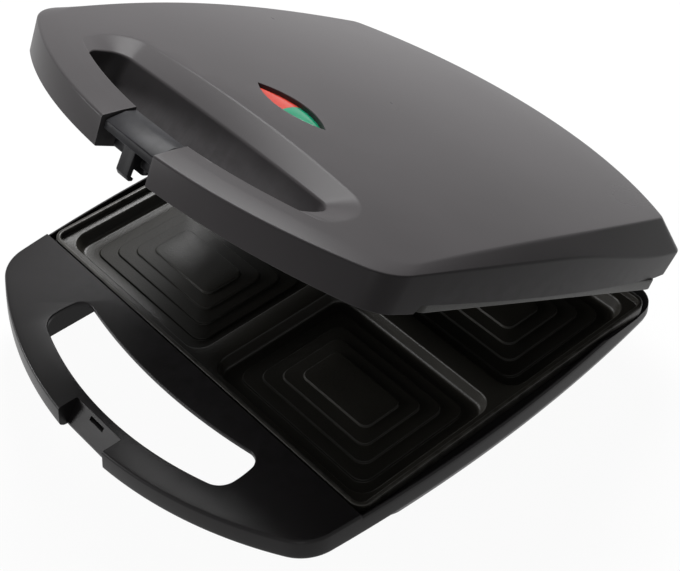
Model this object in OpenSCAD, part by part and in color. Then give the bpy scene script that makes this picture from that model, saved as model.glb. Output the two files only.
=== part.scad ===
// Sandwich toaster for four slices: two hinged halves, each a moulded shell round a cast cooking plate.
// Millimetres. +X is the right-hand side, -Y the handle side, +Z up. The origin is on the table,
// under the middle of the open toaster's length and width. The lid is drawn open, as it stands
// while the plates are filled.

/* [Cooking plates] */
// Width of a cooking plate over its rim
plate_w = 280; // [250:1:284]
// Depth of a cooking plate over its rim
plate_d = 228; // [205:1:240]
// Height of the rim that stands proud of the shell
rim_h = 6.5; // [5.5:0.5:8]
// Thickness of the rim wall
rim_t = 2.6; // [2:0.1:4]
// Depth of the cooking fields below the rim
field_depth = 13; // [11:0.5:14]
// Thickness of the plate under the fields
plate_t = 3; // [2.5:0.1:4]
// Width of the dividing bar between two fields
divider_w = 13; // [10:1:18]
// How far the dividing bars lie below the rim
divider_drop = 4.5; // [3:0.5:6]
// Number of raised steps in each field
step_count = 4; // [2:1:5]
// Height of one raised step
step_h = 1.3; // [0.8:0.1:1.6]
// Distance from one step's edge to the next
step_pitch = 8.5; // [7:0.5:9]
// Gap between the two rims when the lid is shut
rim_gap = 0.6; // [0.4:0.1:2]

/* [Shells] */
// Height of the lower rim above the table
rim_z = 46; // [44:1:54]
// Wall of the moulded shells
wall = 2.6; // [2:0.1:3.2]
// Distance from the rim's front edge to the front of the base handle
handle_reach = 78; // [72:1:86]
// Thickness of the base handle
handle_t = 15.5; // [14:0.5:18]
// Radius of the handle's bowed front
front_r = 247; // [230:1:280]
// Radius of the two front corners in plan
front_corner_r = 28; // [22:1:34]
// How far the base shell reaches out beyond the plate at its widest
side_margin = 9; // [8:0.5:14]
// How far the sides bow in from their widest place to the plates' rear edge
side_bow = 8.84; // [7:0.1:9]
// Radius of the bowed rear
rear_r = 900; // [700:10:1400]
// Radius of the rear corners in plan
rear_corner_r = 16; // [12:1:22]
// How far the hinge line lies behind the rim
hinge_back = 16.7; // [16:0.1:18]
// How far the base shell runs on behind the hinge line
rear_lip = 4.3; // [3:0.1:4.6]
// Height of the rubber feet below the shell
foot_h = 6; // [4:0.5:8]
// Radius of the rubber feet
foot_r = 9; // [7:0.5:11]

/* [Lid] */
// Angle at which the lid stands open
open_angle = 29.6; // [10:0.1:60]
// How far the lid's outline lies inside the base's
lid_inset = 2; // [1:0.5:3]
// Gap between the lid handle and the base handle when shut
handle_gap = 2; // [1.5:0.5:3]
// Height of the lid's crown above the rim plane
lid_top = 48.3; // [46:0.1:54]
// How much lower the lid is at its sides than along its middle
crown = 6; // [4:0.5:8]
// How much the lid's top falls from its crest near the hinge to the indicator window
front_fall = 9.3; // [7:0.1:11]
// Radius of the lid's bowed rear edge
lid_rear_r = 245; // [220:5:300]
// Height of the lid handle's front face
face_h = 16.5; // [14:0.5:18]
// Length of the eye-shaped indicator window
eye_l = 54; // [44:1:60]
// Width of the eye-shaped indicator window
eye_w = 17; // [12:0.5:20]

/* [Handles] */
// Half-width of the finger opening in the base
grip_x = 82; // [76:1:86]
// Depth of the bar in front of the finger opening in the base
grip_bar = 19; // [17:0.5:22]
// Half-width of the finger opening in the lid
lid_grip_x = 85; // [78:1:88]
// Depth of the bar in front of the finger opening in the lid
lid_grip_bar = 20; // [19:0.5:22]
// Half-width of the latch notch
notch_x = 20.4; // [18:0.2:24]

/* [Fasteners and pins] */
// Radius of the hinge pins
hinge_pin_r = 2.5; // [2:0.1:3]
// Radius of the hinge knuckles
knuckle_r = 5.5; // [5:0.1:5.8]
// Width of a hinge knuckle on the lid
knuckle_w = 16; // [12:1:20]
// How far each hinge lies in from the plate's side
hinge_in = 56; // [44:1:70]
// Radius of the latch pin
latch_pin_r = 1.5; // [1.2:0.1:1.8]
// Radius of the screws
screw_r = 2; // [1.5:0.1:2.2]
// Radius of the screw heads
screw_head_r = 3.8; // [3:0.1:4.2]
// Radius of the heating tubes
heater_r = 3.3; // [3:0.1:3.6]

/* [Hidden] */
$fn = 48;
eps = 0.01;
half_w = plate_w / 2;
half_d = plate_d / 2;
fit = 0.05;
clear = 0.4;
hinge_y = half_d + hinge_back;
hinge_x = half_w - hinge_in;
base_front = -half_d - handle_reach;
base_rear = hinge_y + rear_lip;
side_y = -19;
side_x = half_w + side_margin;
side_r = pow(half_d - side_y, 2) / (2 * side_bow);
lid_side_y = side_y - 8;
lid_side_r = pow(half_d - lid_side_y, 2) / (2 * (side_bow - 1));
shell_bottom = foot_h - rim_z;
seat = 0.05;
ledge_z = -rim_h - seat;
deck_edge = -half_d - 1.2;
corner_r = 8;
pan_in = 6;
field_margin = 5;
frame_z = rim_gap + rim_h + seat;
lid_under = frame_z;
crest_y = half_d - 18;
fall_y = -half_d + 29;
lid_front = base_front + lid_inset;
lid_rear = hinge_y + 13.3;
lid_side = side_x - lid_inset;
latch_pin_y = lid_front + 14.4;
latch_pin_z = 15;
hook_slot_x = 6;
post_x = half_w - 42;
post_y = half_d - 42;
post_r = 4.5;
post_end = field_depth + plate_t + 12;
frame_t = 2.4;
run_x = half_w - 66;
run_y = half_d - 56;
open_rear = hinge_y + (half_d + 26 - hinge_y) * cos(open_angle) + lid_top * sin(open_angle);
middle_y = (base_front + open_rear) / 2;

// Points on a circular arc from angle a0 to a1, leaving out the first
function arc(c, r, a0, a1, n) = [for (i = [1:n]) c + r * [cos(a0 + (a1 - a0) * i / n), sin(a0 + (a1 - a0) * i / n)]];

// Where two circles cross, on the side that s chooses
function crossing(c1, r1, c2, r2, s) =
    let (d = norm(c2 - c1), u = (c2 - c1) / d, a = (r1 * r1 - r2 * r2 + d * d) / (2 * d))
    c1 + a * u + s * sqrt(r1 * r1 - a * a) * [-u[1], u[0]];

function heading(a, b) = atan2(b[1] - a[1], b[0] - a[0]);

// Right half of a plan outline: a bowed front, a corner, a bowed side, a corner and a bowed rear.
// The list holds front y, front radius, corner radius, side x, side radius, side y,
// rear y, rear radius (negative when it bows inwards) and corner radius.
function right_half(o) =
    let (cf = [0, o[0] + o[1]], cs = [o[3] - o[4], o[5]], cr = [0, o[6] - o[7]],
        pf = crossing(cf, o[1] - o[2], cs, o[4] - o[2], 1),
        pr = crossing(cs, o[4] - o[8], cr, o[7] - o[8], sign(o[7])),
        af = heading(cf, pf), as = heading(cs, pf), ar = heading(cs, pr),
        ae = o[7] > 0 ? heading(cr, pr) : heading(pr, cr))
    concat([[0, o[0]]], arc(cf, o[1], -90, af, 8), arc(pf, o[2], af, as, 6),
        arc(cs, o[4], as, ar, 8), arc(pr, o[8], ar, ae, 5), arc(cr, o[7], ae, 90, 7));

function outline(o) =
    let (h = right_half(o), n = len(h))
    concat(h, [for (i = [n - 2:-1:1]) [-h[i][0], h[i][1]]]);

// The same outline moved inwards by d all round
function inset(o, d) = [o[0] + d, o[1] - d, max(o[2] - d, 3), o[3] - d, o[4] - d, o[5],
    o[6] - d, o[7] - d, max(o[8] - d, 3)];

function level(pts, z) = [for (p = pts) [p[0], p[1], z]];

function mean(pts) = [for (k = [0:2]) [for (p = pts) p[k]] * [for (p = pts) 1] / len(pts)];

// Closed skin through rings of equally many points, from the lowest ring to the highest
module loft(rings) {
    n = len(rings[0]);
    m = len(rings);
    polyhedron(
        points = concat([for (r = rings) each r], [mean(rings[0]), mean(rings[m - 1])]),
        faces = concat(
            [for (i = [0:n - 1]) [i, (i + 1) % n, m * n]],
            [for (i = [0:n - 1]) [(m - 1) * n + (i + 1) % n, (m - 1) * n + i, m * n + 1]],
            [for (k = [0:m - 2], i = [0:n - 1]) [k * n + i, (k + 1) * n + i, (k + 1) * n + (i + 1) % n]],
            [for (k = [0:m - 2], i = [0:n - 1]) [k * n + i, (k + 1) * n + (i + 1) % n, k * n + (i + 1) % n]]),
        convexity = 6);
}

module plan(o) {
    polygon(outline(o));
}

module rounded(w, d, r) {
    square([w - 2 * r, d], center = true);
    square([w, d - 2 * r], center = true);
    for (x = [-1, 1], y = [-1, 1])
        translate([x * (w / 2 - r), y * (d / 2 - r)])
            circle(r);
}

function rounded_ring(w, d, r, z) = [for (q = [0:3], i = [0:4])
    let (a = 90 * q + 22.5 * i, sx = q == 0 || q == 3 ? 1 : -1, sy = q < 2 ? 1 : -1)
    [sx * (w / 2 - r) + r * cos(a), sy * (d / 2 - r) + r * sin(a), z]];

module box(x0, x1, y0, y1, z0, z1) {
    translate([x0, y0, z0])
        cube([x1 - x0, y1 - y0, z1 - z0]);
}

module bar_x(x0, x1, y, z, r) {
    translate([x0, y, z])
        rotate([0, 90, 0])
            cylinder(r = r, h = x1 - x0);
}

module in_base() {
    translate([0, -middle_y, rim_z])
        children();
}

module in_lid() {
    translate([0, hinge_y - middle_y, rim_z])
        rotate([-open_angle, 0, 0])
            translate([0, -hinge_y, 0])
                children();
}

module at_posts() {
    for (x = [-post_x, post_x], y = [-post_y, post_y])
        translate([x, y, 0])
            children();
}

base_o = [base_front, front_r, front_corner_r, side_x, side_r, side_y, base_rear, rear_r, rear_corner_r];
keel_o = [-half_d - 2, rear_r, 18, side_x, side_r, side_y, base_rear, rear_r, rear_corner_r];
grip_o = [base_front + grip_bar, front_r - grip_bar, 12, grip_x, 60, -half_d - 33,
    -half_d - 23.8, -384, 8];
lid_o = [lid_front, front_r - lid_inset, front_corner_r - 1, lid_side, lid_side_r, lid_side_y,
    lid_rear, rear_r, rear_corner_r - 2];
lid_top_o = [lid_front + 12, front_r - 14, front_corner_r - 4, lid_side - 7.3, lid_side_r, -54,
    half_d + 26, lid_rear_r, 7];
lid_hole_o = [lid_front + lid_grip_bar, front_r - lid_inset - lid_grip_bar, 11, lid_grip_x, 60, -half_d - 29,
    -half_d - 13, 1500, 10];
lid_hole_low_o = [lid_front + lid_grip_bar, front_r - lid_inset - lid_grip_bar, 9, lid_grip_x - 1, 60,
    -half_d - 31, -half_d - 20, 1500, 7];
lid_bevel_o = [lid_front + lid_grip_bar, front_r - lid_inset - lid_grip_bar, 10, lid_grip_x + 14, 70,
    -half_d - 22, -half_d + 0.5, 1200, 19];

// Height of the lid's top surface over the rim plane
function rise(y) = lid_top - front_fall * pow(max(crest_y - y, 0) / (crest_y - fall_y), 2.5)
    - pow(max(y - crest_y, 0), 2) / 1800;
function top_z(p) = rise(p[1]) - crown * pow(p[0] / half_w, 2);
function smooth(t) = t * t * (3 - 2 * t);
function crease_z(y) = y < -4
    ? 30.8 - (30.8 - handle_gap - face_h) * pow((-4 - y) / (-4 - lid_front), 1.6)
    : 30.8 - 6.8 * smooth(min((y + 4) / (half_d - 4), 1));

function shrink(pts, k) = [for (p = pts) [p[0] * k, -20 + (p[1] + 20) * k]];

module base_outer() {
    loft([
        level(outline(inset(base_o, 3)), -handle_t),
        level(outline(base_o), -handle_t + 2.5),
        level(outline(inset(base_o, 0.4)), -7),
        level(outline(inset(base_o, 1)), -1.2),
        level(outline(inset(base_o, 1.8)), 0)]);
}

module keel(d, lift) {
    loft([
        level(outline(inset(keel_o, 30 + d)), shell_bottom + lift),
        level(outline(inset(keel_o, 25.5 + d)), shell_bottom + 2 + lift),
        level(outline(inset(keel_o, 14.5 + d)), shell_bottom + 12 + lift / 2),
        level(outline(inset(keel_o, 7.5 + d)), shell_bottom + 18 + lift / 2),
        level(outline(inset(keel_o, 1.2 + d)), shell_bottom + 23.5),
        level(outline(inset(keel_o, 0.5 + d)), shell_bottom + 27 + lift)]);
}

module hinge_ears() {
    for (s = [-1, 1], t = [-1, 1])
        translate([s * hinge_x + t * (knuckle_w / 2 + clear + 3), 0, 0])
            difference() {
                union() {
                    bar_x(-3, 3, hinge_y, 0, knuckle_r);
                    box(-3, 3, hinge_y - knuckle_r + 0.8, hinge_y + rear_lip - 0.9, ledge_z - 1, 0);
                }
                bar_x(-4, 4, hinge_y, 0, hinge_pin_r);
            }
}

module base_hollow() {
    intersection() {
        translate([0, 0, -handle_t - 1])
            linear_extrude(height = handle_t + 1 - wall)
                plan(inset(base_o, wall + 2));
        box(-200, 200, -300, -half_d - 4, -40, 0);
    }
    intersection() {
        translate([0, 0, -handle_t - 1])
            linear_extrude(height = handle_t + 1 + ledge_z - wall)
                plan(inset(base_o, wall + 2));
        box(-200, 200, -half_d - 2 + wall, 200, -40, 0);
    }
    keel(wall, wall);
}

module base_shell() {
    color([0.13, 0.12, 0.12])
        in_base()
            difference() {
                union() {
                    base_outer();
                    keel(0, 0);
                }
                difference() {
                    base_hollow();
                    translate([0, 0, -handle_t - 3])
                        linear_extrude(height = handle_t + 2)
                            plan(inset(grip_o, -wall));
                    box(-notch_x - wall, notch_x + wall, base_front - 1, base_front + grip_bar + 1, -20, -1);
                    at_posts()
                        translate([0, 0, shell_bottom + 1])
                            cylinder(r = screw_head_r + 3.2, h = -post_end - seat - shell_bottom - 1);
                }
                box(-200, 200, deck_edge, 200, ledge_z, 5);
                translate([0, 0, -12])
                    linear_extrude(height = 20)
                        rounded(plate_w - 2 * pan_in + 1.6, plate_d - 2 * pan_in + 1.6, corner_r - 1);
                translate([0, 0, -40])
                    linear_extrude(height = 50)
                        plan(grip_o);
                notch_cut();
                at_posts() {
                    translate([0, 0, shell_bottom - 1])
                        cylinder(r = screw_r + 0.3, h = 40);
                    translate([0, 0, shell_bottom - 1])
                        cylinder(r = screw_head_r + 0.4, h = 1 - post_end - seat - wall - shell_bottom);
                }
                at_feet()
                    translate([0, 0, shell_bottom - 1])
                        cylinder(r = foot_r - 2, h = 1 + 1.5);
                inlet_cut();
                bottom_vents();
            }
    color([0.13, 0.12, 0.12])
        in_base()
            hinge_ears();
}

module at_feet() {
    for (x = [44 - half_w, half_w - 44], y = [32 - half_d, half_d - 32])
        translate([x, y, 0])
            children();
}

// Sloping guide for the latch, with a slot near its top edge that the hook drops into
module notch_cut() {
    translate([-notch_x, 0, 0])
        rotate([90, 0, 90])
            linear_extrude(height = 2 * notch_x)
                polygon([[base_front + 14.5, 1], [base_front + 14.5, -0.7], [base_front + 5.8, -13.8],
                    [base_front + 5.8, -30], [base_front - 5, -30], [base_front - 5, 1]]);
    box(-hook_slot_x, hook_slot_x, base_front + 9, base_front + 15.3, -4.8, -2.4);
}

inlet_x = 60;
inlet_z = -21;
inlet_r = 6;

module inlet_cut() {
    translate([inlet_x, base_rear + 2, inlet_z])
        rotate([90, 0, 0])
            cylinder(r = inlet_r, h = 24);
}

module bottom_vents() {
    for (i = [-3:3])
        translate([i * 14, 0, shell_bottom - 1])
            linear_extrude(height = wall + 2)
                rounded(4.2, 40, 2);
}

module rubber_feet() {
    color([0.06, 0.06, 0.06])
        in_base()
            at_feet()
                translate([0, 0, shell_bottom]) {
                    translate([0, 0, -foot_h])
                        cylinder(r1 = foot_r - 1, r2 = foot_r, h = foot_h, $fn = 32);
                    cylinder(r = foot_r - 2, h = 1.5);
                }
}

// One cooking field: nested rounded squares that rise in steps towards the middle
module field_steps(w, d) {
    for (i = [1:step_count])
        translate([0, 0, -field_depth - eps])
            linear_extrude(height = step_h * i + eps)
                rounded(w - 2 * i * step_pitch - 4, d - 2 * i * step_pitch - 4, max(9 - i, 3));
}

// Cast plate seen as the lower one: fields open upwards, rim top at zero
module plate() {
    fw = (plate_w - 2 * rim_t - 2 * field_margin - divider_w) / 2;
    fd = (plate_d - 2 * rim_t - 2 * field_margin - divider_w) / 2;
    difference() {
        union() {
            translate([0, 0, -rim_h])
                linear_extrude(height = rim_h)
                    rounded(plate_w, plate_d, corner_r);
            translate([0, 0, -field_depth - plate_t])
                linear_extrude(height = field_depth + plate_t - rim_h + eps)
                    rounded(plate_w - 2 * pan_in, plate_d - 2 * pan_in, corner_r - 2);
            at_posts()
                translate([0, 0, -post_end])
                    cylinder(r = post_r, h = post_end - field_depth - 1);
        }
        translate([0, 0, -divider_drop])
            linear_extrude(height = divider_drop + 1)
                rounded(plate_w - 2 * rim_t, plate_d - 2 * rim_t, corner_r - rim_t);
        for (x = [-1, 1], y = [-1, 1])
            translate([x * (fw + divider_w) / 2, y * (fd + divider_w) / 2, 0])
                field_cut(fw, fd);
        at_posts()
            translate([0, 0, -post_end - 1])
                cylinder(r = screw_r + seat, h = 11);
    }
    for (x = [-1, 1], y = [-1, 1])
        translate([x * (fw + divider_w) / 2, y * (fd + divider_w) / 2, 0])
            field_steps(fw, fd);
}

module field_cut(w, d) {
    draft = 2.6;
    k = draft / (field_depth - divider_drop);
    loft([
        rounded_ring(w - 2 * draft, d - 2 * draft, 9, -field_depth),
        rounded_ring(w + 2 * k, d + 2 * k, 11, 1 - divider_drop)]);
}

heater_z = -field_depth - plate_t - heater_r - seat;

// Sheathed heating tube bent into a loop with its two cold ends side by side at the rear
module heater() {
    bend_r = 22;
    end_x = 14;
    translate([0, 0, heater_z]) {
        for (s = [-1, 1]) {
            translate([s * run_x, 0, 0])
                rotate([90, 0, 0])
                    cylinder(r = heater_r, h = 2 * (run_y - bend_r), center = true);
            for (t = [-1, 1])
                translate([s * (run_x - bend_r), t * (run_y - bend_r), 0])
                    rotate([0, 0, s > 0 ? (t > 0 ? 0 : -90) : (t > 0 ? 90 : 180)])
                        rotate_extrude(angle = 90)
                            translate([bend_r, 0])
                                circle(heater_r, $fn = 32);
            translate([s * end_x, run_y, 0])
                rotate([0, s * 90, 0])
                    cylinder(r = heater_r, h = run_x - bend_r - end_x);
            translate([s * end_x, run_y + 10, 0])
                rotate([0, 0, s > 0 ? 180 : -90])
                    rotate_extrude(angle = 90)
                        translate([10, 0])
                            circle(heater_r, $fn = 32);
            translate([s * (end_x - 10), run_y + 10, 0])
                rotate([-90, 0, 0])
                    cylinder(r = heater_r, h = 18);
        }
        rotate([0, 90, 0])
            translate([0, -run_y, 0])
                cylinder(r = heater_r, h = 2 * (run_x - bend_r), center = true);
    }
}

module clamp_at(x, y) {
    translate([x, y, heater_z - heater_r - seat]) {
        box(-13, 13, -4, 4, -1.2, 0);
        for (s = [-1, 1])
            translate([s * 9, 0, -0.2])
                cylinder(r = 3, h = 2 * heater_r + seat + 0.2);
    }
}

module heater_clamps() {
    for (s = [-1, 1])
        clamp_at(s * run_x, 0);
}

// Pressed tray that throws the heat back at the plate
module reflector() {
    floor_z = heater_z - heater_r - 1.2 - clear;
    top_z = -field_depth - plate_t - 1;
    difference() {
        translate([0, 0, floor_z - 0.8])
            linear_extrude(height = top_z - floor_z + 0.8)
                rounded(2 * run_x + 76, 2 * run_y + 48, 10);
        translate([0, 0, floor_z])
            linear_extrude(height = 30)
                rounded(2 * run_x + 73.6, 2 * run_y + 45.6, 8.8);
        at_posts()
            translate([0, 0, -post_end - 5])
                cylinder(r = post_r + 0.6, h = 30);
        box(-8, 8, run_y + 20, run_y + 32, heater_z - heater_r - 0.5, 0);
    }
}

module plate_screws() {
    at_posts()
        translate([0, 0, -post_end - seat - wall]) {
            cylinder(r = screw_r, h = wall + seat + 8);
            translate([0, 0, -2.4 - seat])
                difference() {
                    cylinder(r = screw_head_r, h = 2.4 + seat);
                    translate([0, 0, -1])
                        cylinder(r = 1.3, h = 2.2, $fn = 6);
                }
        }
}

module lower_plate() {
    color([0.16, 0.15, 0.14])
        in_base()
            plate();
}

module lower_heater() {
    color([0.55, 0.56, 0.58])
        in_base()
            heater();
}

module lower_heater_clamps() {
    color([0.7, 0.71, 0.72])
        in_base()
            heater_clamps();
}

module lower_reflector() {
    color([0.75, 0.76, 0.78])
        in_base()
            reflector();
}

module lower_plate_screws() {
    color([0.62, 0.62, 0.64])
        in_base()
            plate_screws();
}

module terminal_block() {
    color([0.9, 0.9, 0.86])
        in_base()
            translate([inlet_x - 24, half_d - 30, shell_bottom + wall])
                difference() {
                    box(-12, 12, -6, 6, 0, 8);
                    for (x = [-7, 0, 7])
                        translate([x, 0, 3])
                            cylinder(r = 1.6, h = 6);
                }
}

module thermal_fuse() {
    color([0.85, 0.85, 0.8])
        in_base()
            translate([-16, 0, -field_depth - plate_t - 3.2])
                rotate([0, 90, 0])
                    cylinder(r = 3, h = 32);
}

module cord_inlet_bush() {
    color([0.08, 0.08, 0.08])
        in_base()
            translate([inlet_x, base_rear - 8, inlet_z])
                rotate([90, 0, 0])
                    difference() {
                        cylinder(r = inlet_r - fit, h = 14, center = true);
                        cylinder(r = 3.6, h = 20, center = true);
                    }
}

// Outer form of the lid: a wall that leans in to a crease, a bevelled band above it and a domed top
module lid_solid(d, under) {
    top = outline(inset(lid_top_o, d));
    loft(concat(
        [level(outline(inset(lid_o, 1.8 + d)), under),
            [for (p = outline(inset(lid_o, d))) [p[0], p[1], crease_z(p[1]) - d / 2]]],
        [for (k = [1, 0.94, 0.84, 0.68, 0.5, 0.3, 0.12]) [for (p = shrink(top, k)) [p[0], p[1], top_z(p) - d]]]));
}

// Tapering well for the fingers, with a wide chamfer at its rear and ends
module lid_well(d, lowest, highest) {
    rim = outline(inset(lid_bevel_o, -d));
    mid = outline(inset(lid_hole_o, -d));
    loft([
        level(outline(inset(lid_hole_low_o, -d)), lowest),
        [for (i = [0:len(mid) - 1]) [mid[i][0], mid[i][1], min(25, top_z(rim[i]) - 1.5)]],
        [for (i = [0:len(mid) - 1]) let (k = 1.3, z = min(25, top_z(rim[i]) - 1.5))
            [mid[i][0] + k * (rim[i][0] - mid[i][0]), mid[i][1] + k * (rim[i][1] - mid[i][1]),
            z + k * (top_z(rim[i]) - z)]],
        [for (i = [0:len(mid) - 1]) let (k = 1.3)
            [mid[i][0] + k * (rim[i][0] - mid[i][0]), mid[i][1] + k * (rim[i][1] - mid[i][1]), highest]]]);
}

eye_y = -half_d + 29.5;
eye_tilt = atan(front_fall * 2.5 * pow((crest_y - eye_y) / (crest_y - fall_y), 1.5) / (crest_y - fall_y));
eye_r = (eye_l * eye_l / 4 + eye_w * eye_w / 4) / eye_w;

module at_eye() {
    translate([0, eye_y, rise(eye_y)])
        rotate([eye_tilt, 0, 0])
            children();
}

module eye(d, z0, z1) {
    translate([0, 0, z0])
        linear_extrude(height = z1 - z0)
            intersection() {
                translate([0, eye_r - eye_w / 2])
                    circle(eye_r + d);
                translate([0, eye_w / 2 - eye_r])
                    circle(eye_r + d);
            }
}

module at_frame_screws() {
    for (s = [-1, 1]) {
        translate([s * (lid_grip_x + 23), -half_d - 36, handle_gap])
            children(0);
        translate([s * (half_w - 100), half_d + 9, frame_z])
            children(1);
    }
}

module screw_boss(h) {
    translate([0, 0, h])
        cylinder(r = screw_r + 2.8, h = 60);
}

module lid_form() {
    difference() {
        lid_solid(0, handle_gap);
        difference() {
            lid_solid(wall, handle_gap - 1);
            lid_well(wall, handle_gap - 2, 70);
            at_eye()
                eye(wall, -6.5, 6);
            for (s = [-1, 1])
                translate([s * (notch_x + wall / 2), 0, 0])
                    box(-wall / 2 - 1, wall / 2 + 1, lid_front - 5, lid_front + lid_grip_bar + 2, 0, 60);
            at_frame_screws() {
                screw_boss(5 + seat);
                screw_boss(frame_t + seat);
            }
        }
        lid_well(0, handle_gap - 3, 71);
        box(-notch_x, notch_x, lid_front - 8, lid_front + lid_grip_bar + 3, -5, 60);
        translate([-200, 0, 0])
            rotate([90, 0, 90])
                linear_extrude(height = 400)
                    polygon([[deck_edge - 3, -5], [deck_edge - 3, handle_gap], [deck_edge, lid_under],
                        [half_d, lid_under], [half_d + 8, 8], [200, 8], [200, -5]]);
        at_eye()
            eye(0, -12, 8);
    }
}

module lid_shell() {
    color([0.38, 0.36, 0.35])
        in_lid()
            difference() {
                resize([0, 0, 0])
                    lid_form();
                bar_x(-notch_x - wall - 2, notch_x + wall + 2, latch_pin_y, latch_pin_z, latch_pin_r + 0.02);
                at_frame_screws() {
                    cylinder(r = screw_r + seat, h = 18);
                    cylinder(r = screw_r + seat, h = 16);
                }
            }
}

// Inner moulding that closes the lid from below and carries the hinge lugs and the plate's two bridges
module lid_frame() {
    hand_y = deck_edge - 3;
    color([0.1, 0.1, 0.1])
        in_lid() {
            difference() {
                union() {
                    translate([0, 0, handle_gap])
                        linear_extrude(height = frame_t)
                            frame_plan(-300, hand_y - 0.1);
                    translate([0, 0, handle_gap + 0.3])
                        linear_extrude(height = frame_z + frame_t - handle_gap - 0.6)
                            frame_plan(hand_y - frame_t, hand_y);
                    translate([0, 0, frame_z])
                        linear_extrude(height = frame_t)
                            frame_plan(hand_y - frame_t + 0.2, 200);
                    at_frame_screws() {
                        translate([0, 0, 0.1])
                            cylinder(r = screw_head_r + 1.8, h = 4.9);
                        union() {}
                    }
                    for (s = [-1, 1])
                        translate([s * hinge_x, 0, 0])
                            hinge_lug();
                    for (y = [-post_y, post_y])
                        bridge(y);
                }
                translate([0, 0, -5])
                    linear_extrude(height = 5 + frame_z + frame_t + 2)
                        plan(inset(lid_hole_low_o, -wall - 1.6));
                box(-notch_x - wall - 1.4, notch_x + wall + 1.4, lid_front - 5, lid_front + lid_grip_bar + 3, -5, 60);
                at_frame_screws() {
                    translate([0, 0, -1]) {
                        cylinder(r = screw_r + 0.3, h = 20);
                        cylinder(r = screw_head_r + 0.3, h = 1 + 2.6);
                    }
                    translate([0, 0, -1])
                        cylinder(r = screw_r + 0.3, h = 20);
                }
                for (s = [-1, 1])
                    bar_x(s * hinge_x - knuckle_w, s * hinge_x + knuckle_w, hinge_y, 0, hinge_pin_r + 0.06);
            }
        }
}

module frame_plan(y0, y1) {
    difference() {
        intersection() {
            plan(inset(lid_o, 1.9 + wall));
            translate([-200, y0])
                square([400, y1 - y0]);
        }
        rounded(plate_w - 2 * pan_in + 1.6, plate_d - 2 * pan_in + 1.6, corner_r - 1);
    }
}

// Hoop over the plate that its screws hold on to; its legs stand on the frame and lean in at the top
module bridge(y) {
    difference() {
        translate([0, y - 6, 0])
            mirror([0, 1, 0])
                rotate([90, 0, 0])
                    linear_extrude(height = 12)
                        difference() {
                            polygon([[-leg_x - 0.8, frame_z + 1], [leg_x + 0.8, frame_z + 1],
                                [leg_x + 0.8, 17.5], [leg_x - 3.2, bridge_z + frame_t],
                                [3.2 - leg_x, bridge_z + frame_t], [-leg_x - 0.8, 17.5]]);
                            polygon([[0.8 - leg_x, frame_z], [leg_x - 0.8, frame_z],
                                [leg_x - 0.8, 17], [leg_x - 4.6, bridge_z],
                                [4.6 - leg_x, bridge_z], [0.8 - leg_x, 17]]);
                        }
        for (s = [-1, 1])
            translate([s * post_x, y, bridge_z - 5])
                cylinder(r = screw_r + 0.3, h = 20);
    }
}

bridge_z = rim_gap + post_end + seat;
leg_x = half_w - pan_in + 2.4;

module hinge_lug() {
    w = knuckle_w / 2;
    bar_x(-w, w, hinge_y, 0, knuckle_r);
    box(-w, w, hinge_y - 4.8, hinge_y + 3.6, 0, frame_z + 1);
    for (s = [-1, 1])
        box(s * (w - 2) - 1, s * (w - 2) + 1, hinge_y - 9, hinge_y + 3.6, frame_z + 1, 18);
}

module lid_frame_screws() {
    color([0.62, 0.62, 0.64])
        in_lid()
            at_frame_screws() {
                frame_screw(2.6);
                frame_screw(0);
            }
}

module frame_screw(z) {
    translate([0, 0, z]) {
        cylinder(r = screw_r, h = 13);
        translate([0, 0, -2.4])
            difference() {
                cylinder(r = screw_head_r, h = 2.4 - seat);
                translate([0, 0, -1])
                    cylinder(r = 1.3, h = 2.2, $fn = 6);
            }
        translate([0, 0, -0.2])
            cylinder(r = screw_r, h = 0.4);
    }
}

// Puts a piece of the plate group, drawn for the base, upside down into the lid
module upside_down() {
    in_lid()
        translate([0, 0, rim_gap])
            rotate([0, 180, 0])
                children();
}

module upper_plate() {
    color([0.16, 0.15, 0.14])
        upside_down()
            plate();
}

module upper_heater() {
    color([0.55, 0.56, 0.58])
        upside_down()
            heater();
}

module upper_heater_clamps() {
    color([0.7, 0.71, 0.72])
        upside_down()
            heater_clamps();
}

module upper_reflector() {
    color([0.75, 0.76, 0.78])
        upside_down()
            reflector();
}

module upper_plate_screws() {
    color([0.62, 0.62, 0.64])
        upside_down()
            at_posts()
                translate([0, 0, -post_end - seat - frame_t]) {
                    cylinder(r = screw_r, h = frame_t + 8);
                    translate([0, 0, -2.4 - seat])
                        difference() {
                            cylinder(r = screw_head_r, h = 2.4);
                            translate([0, 0, -1])
                                cylinder(r = 1.3, h = 2.2, $fn = 6);
                        }
                    translate([0, 0, -seat - 0.2])
                        cylinder(r = screw_r, h = 0.5);
                }
}

stat_h = 5.6;

module thermostat() {
    color([0.8, 0.78, 0.7])
        upside_down()
            translate([0, 20, -field_depth - plate_t - seat - stat_h]) {
                cylinder(r = 8, h = stat_h);
                for (s = [-1, 1])
                    box(s * 10.5 - 3.5, s * 10.5 + 3.5, -2, 2, 2, 2.8);
            }
}

module thermostat_strap() {
    color([0.7, 0.71, 0.72])
        upside_down()
            translate([0, 20, -field_depth - plate_t - seat - stat_h - seat]) {
                box(-4, 4, -17, 17, -0.8, 0);
                for (s = [-1, 1])
                    translate([0, s * 13, -0.4])
                        cylinder(r = 3, h = stat_h + seat + 0.4);
            }
}

lens_top = -2;
lens_t = 2.4;

module lens(s) {
    at_eye()
        intersection() {
            eye(-3 * fit, lens_top - lens_t, lens_top);
            box(s > 0 ? fit : -40, s > 0 ? 40 : -fit, -20, 20, -20, 20);
        }
}

module red_lens() {
    color([0.75, 0.22, 0.18])
        in_lid()
            lens(-1);
}

module green_lens() {
    color([0.12, 0.62, 0.42])
        in_lid()
            lens(1);
}

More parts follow.
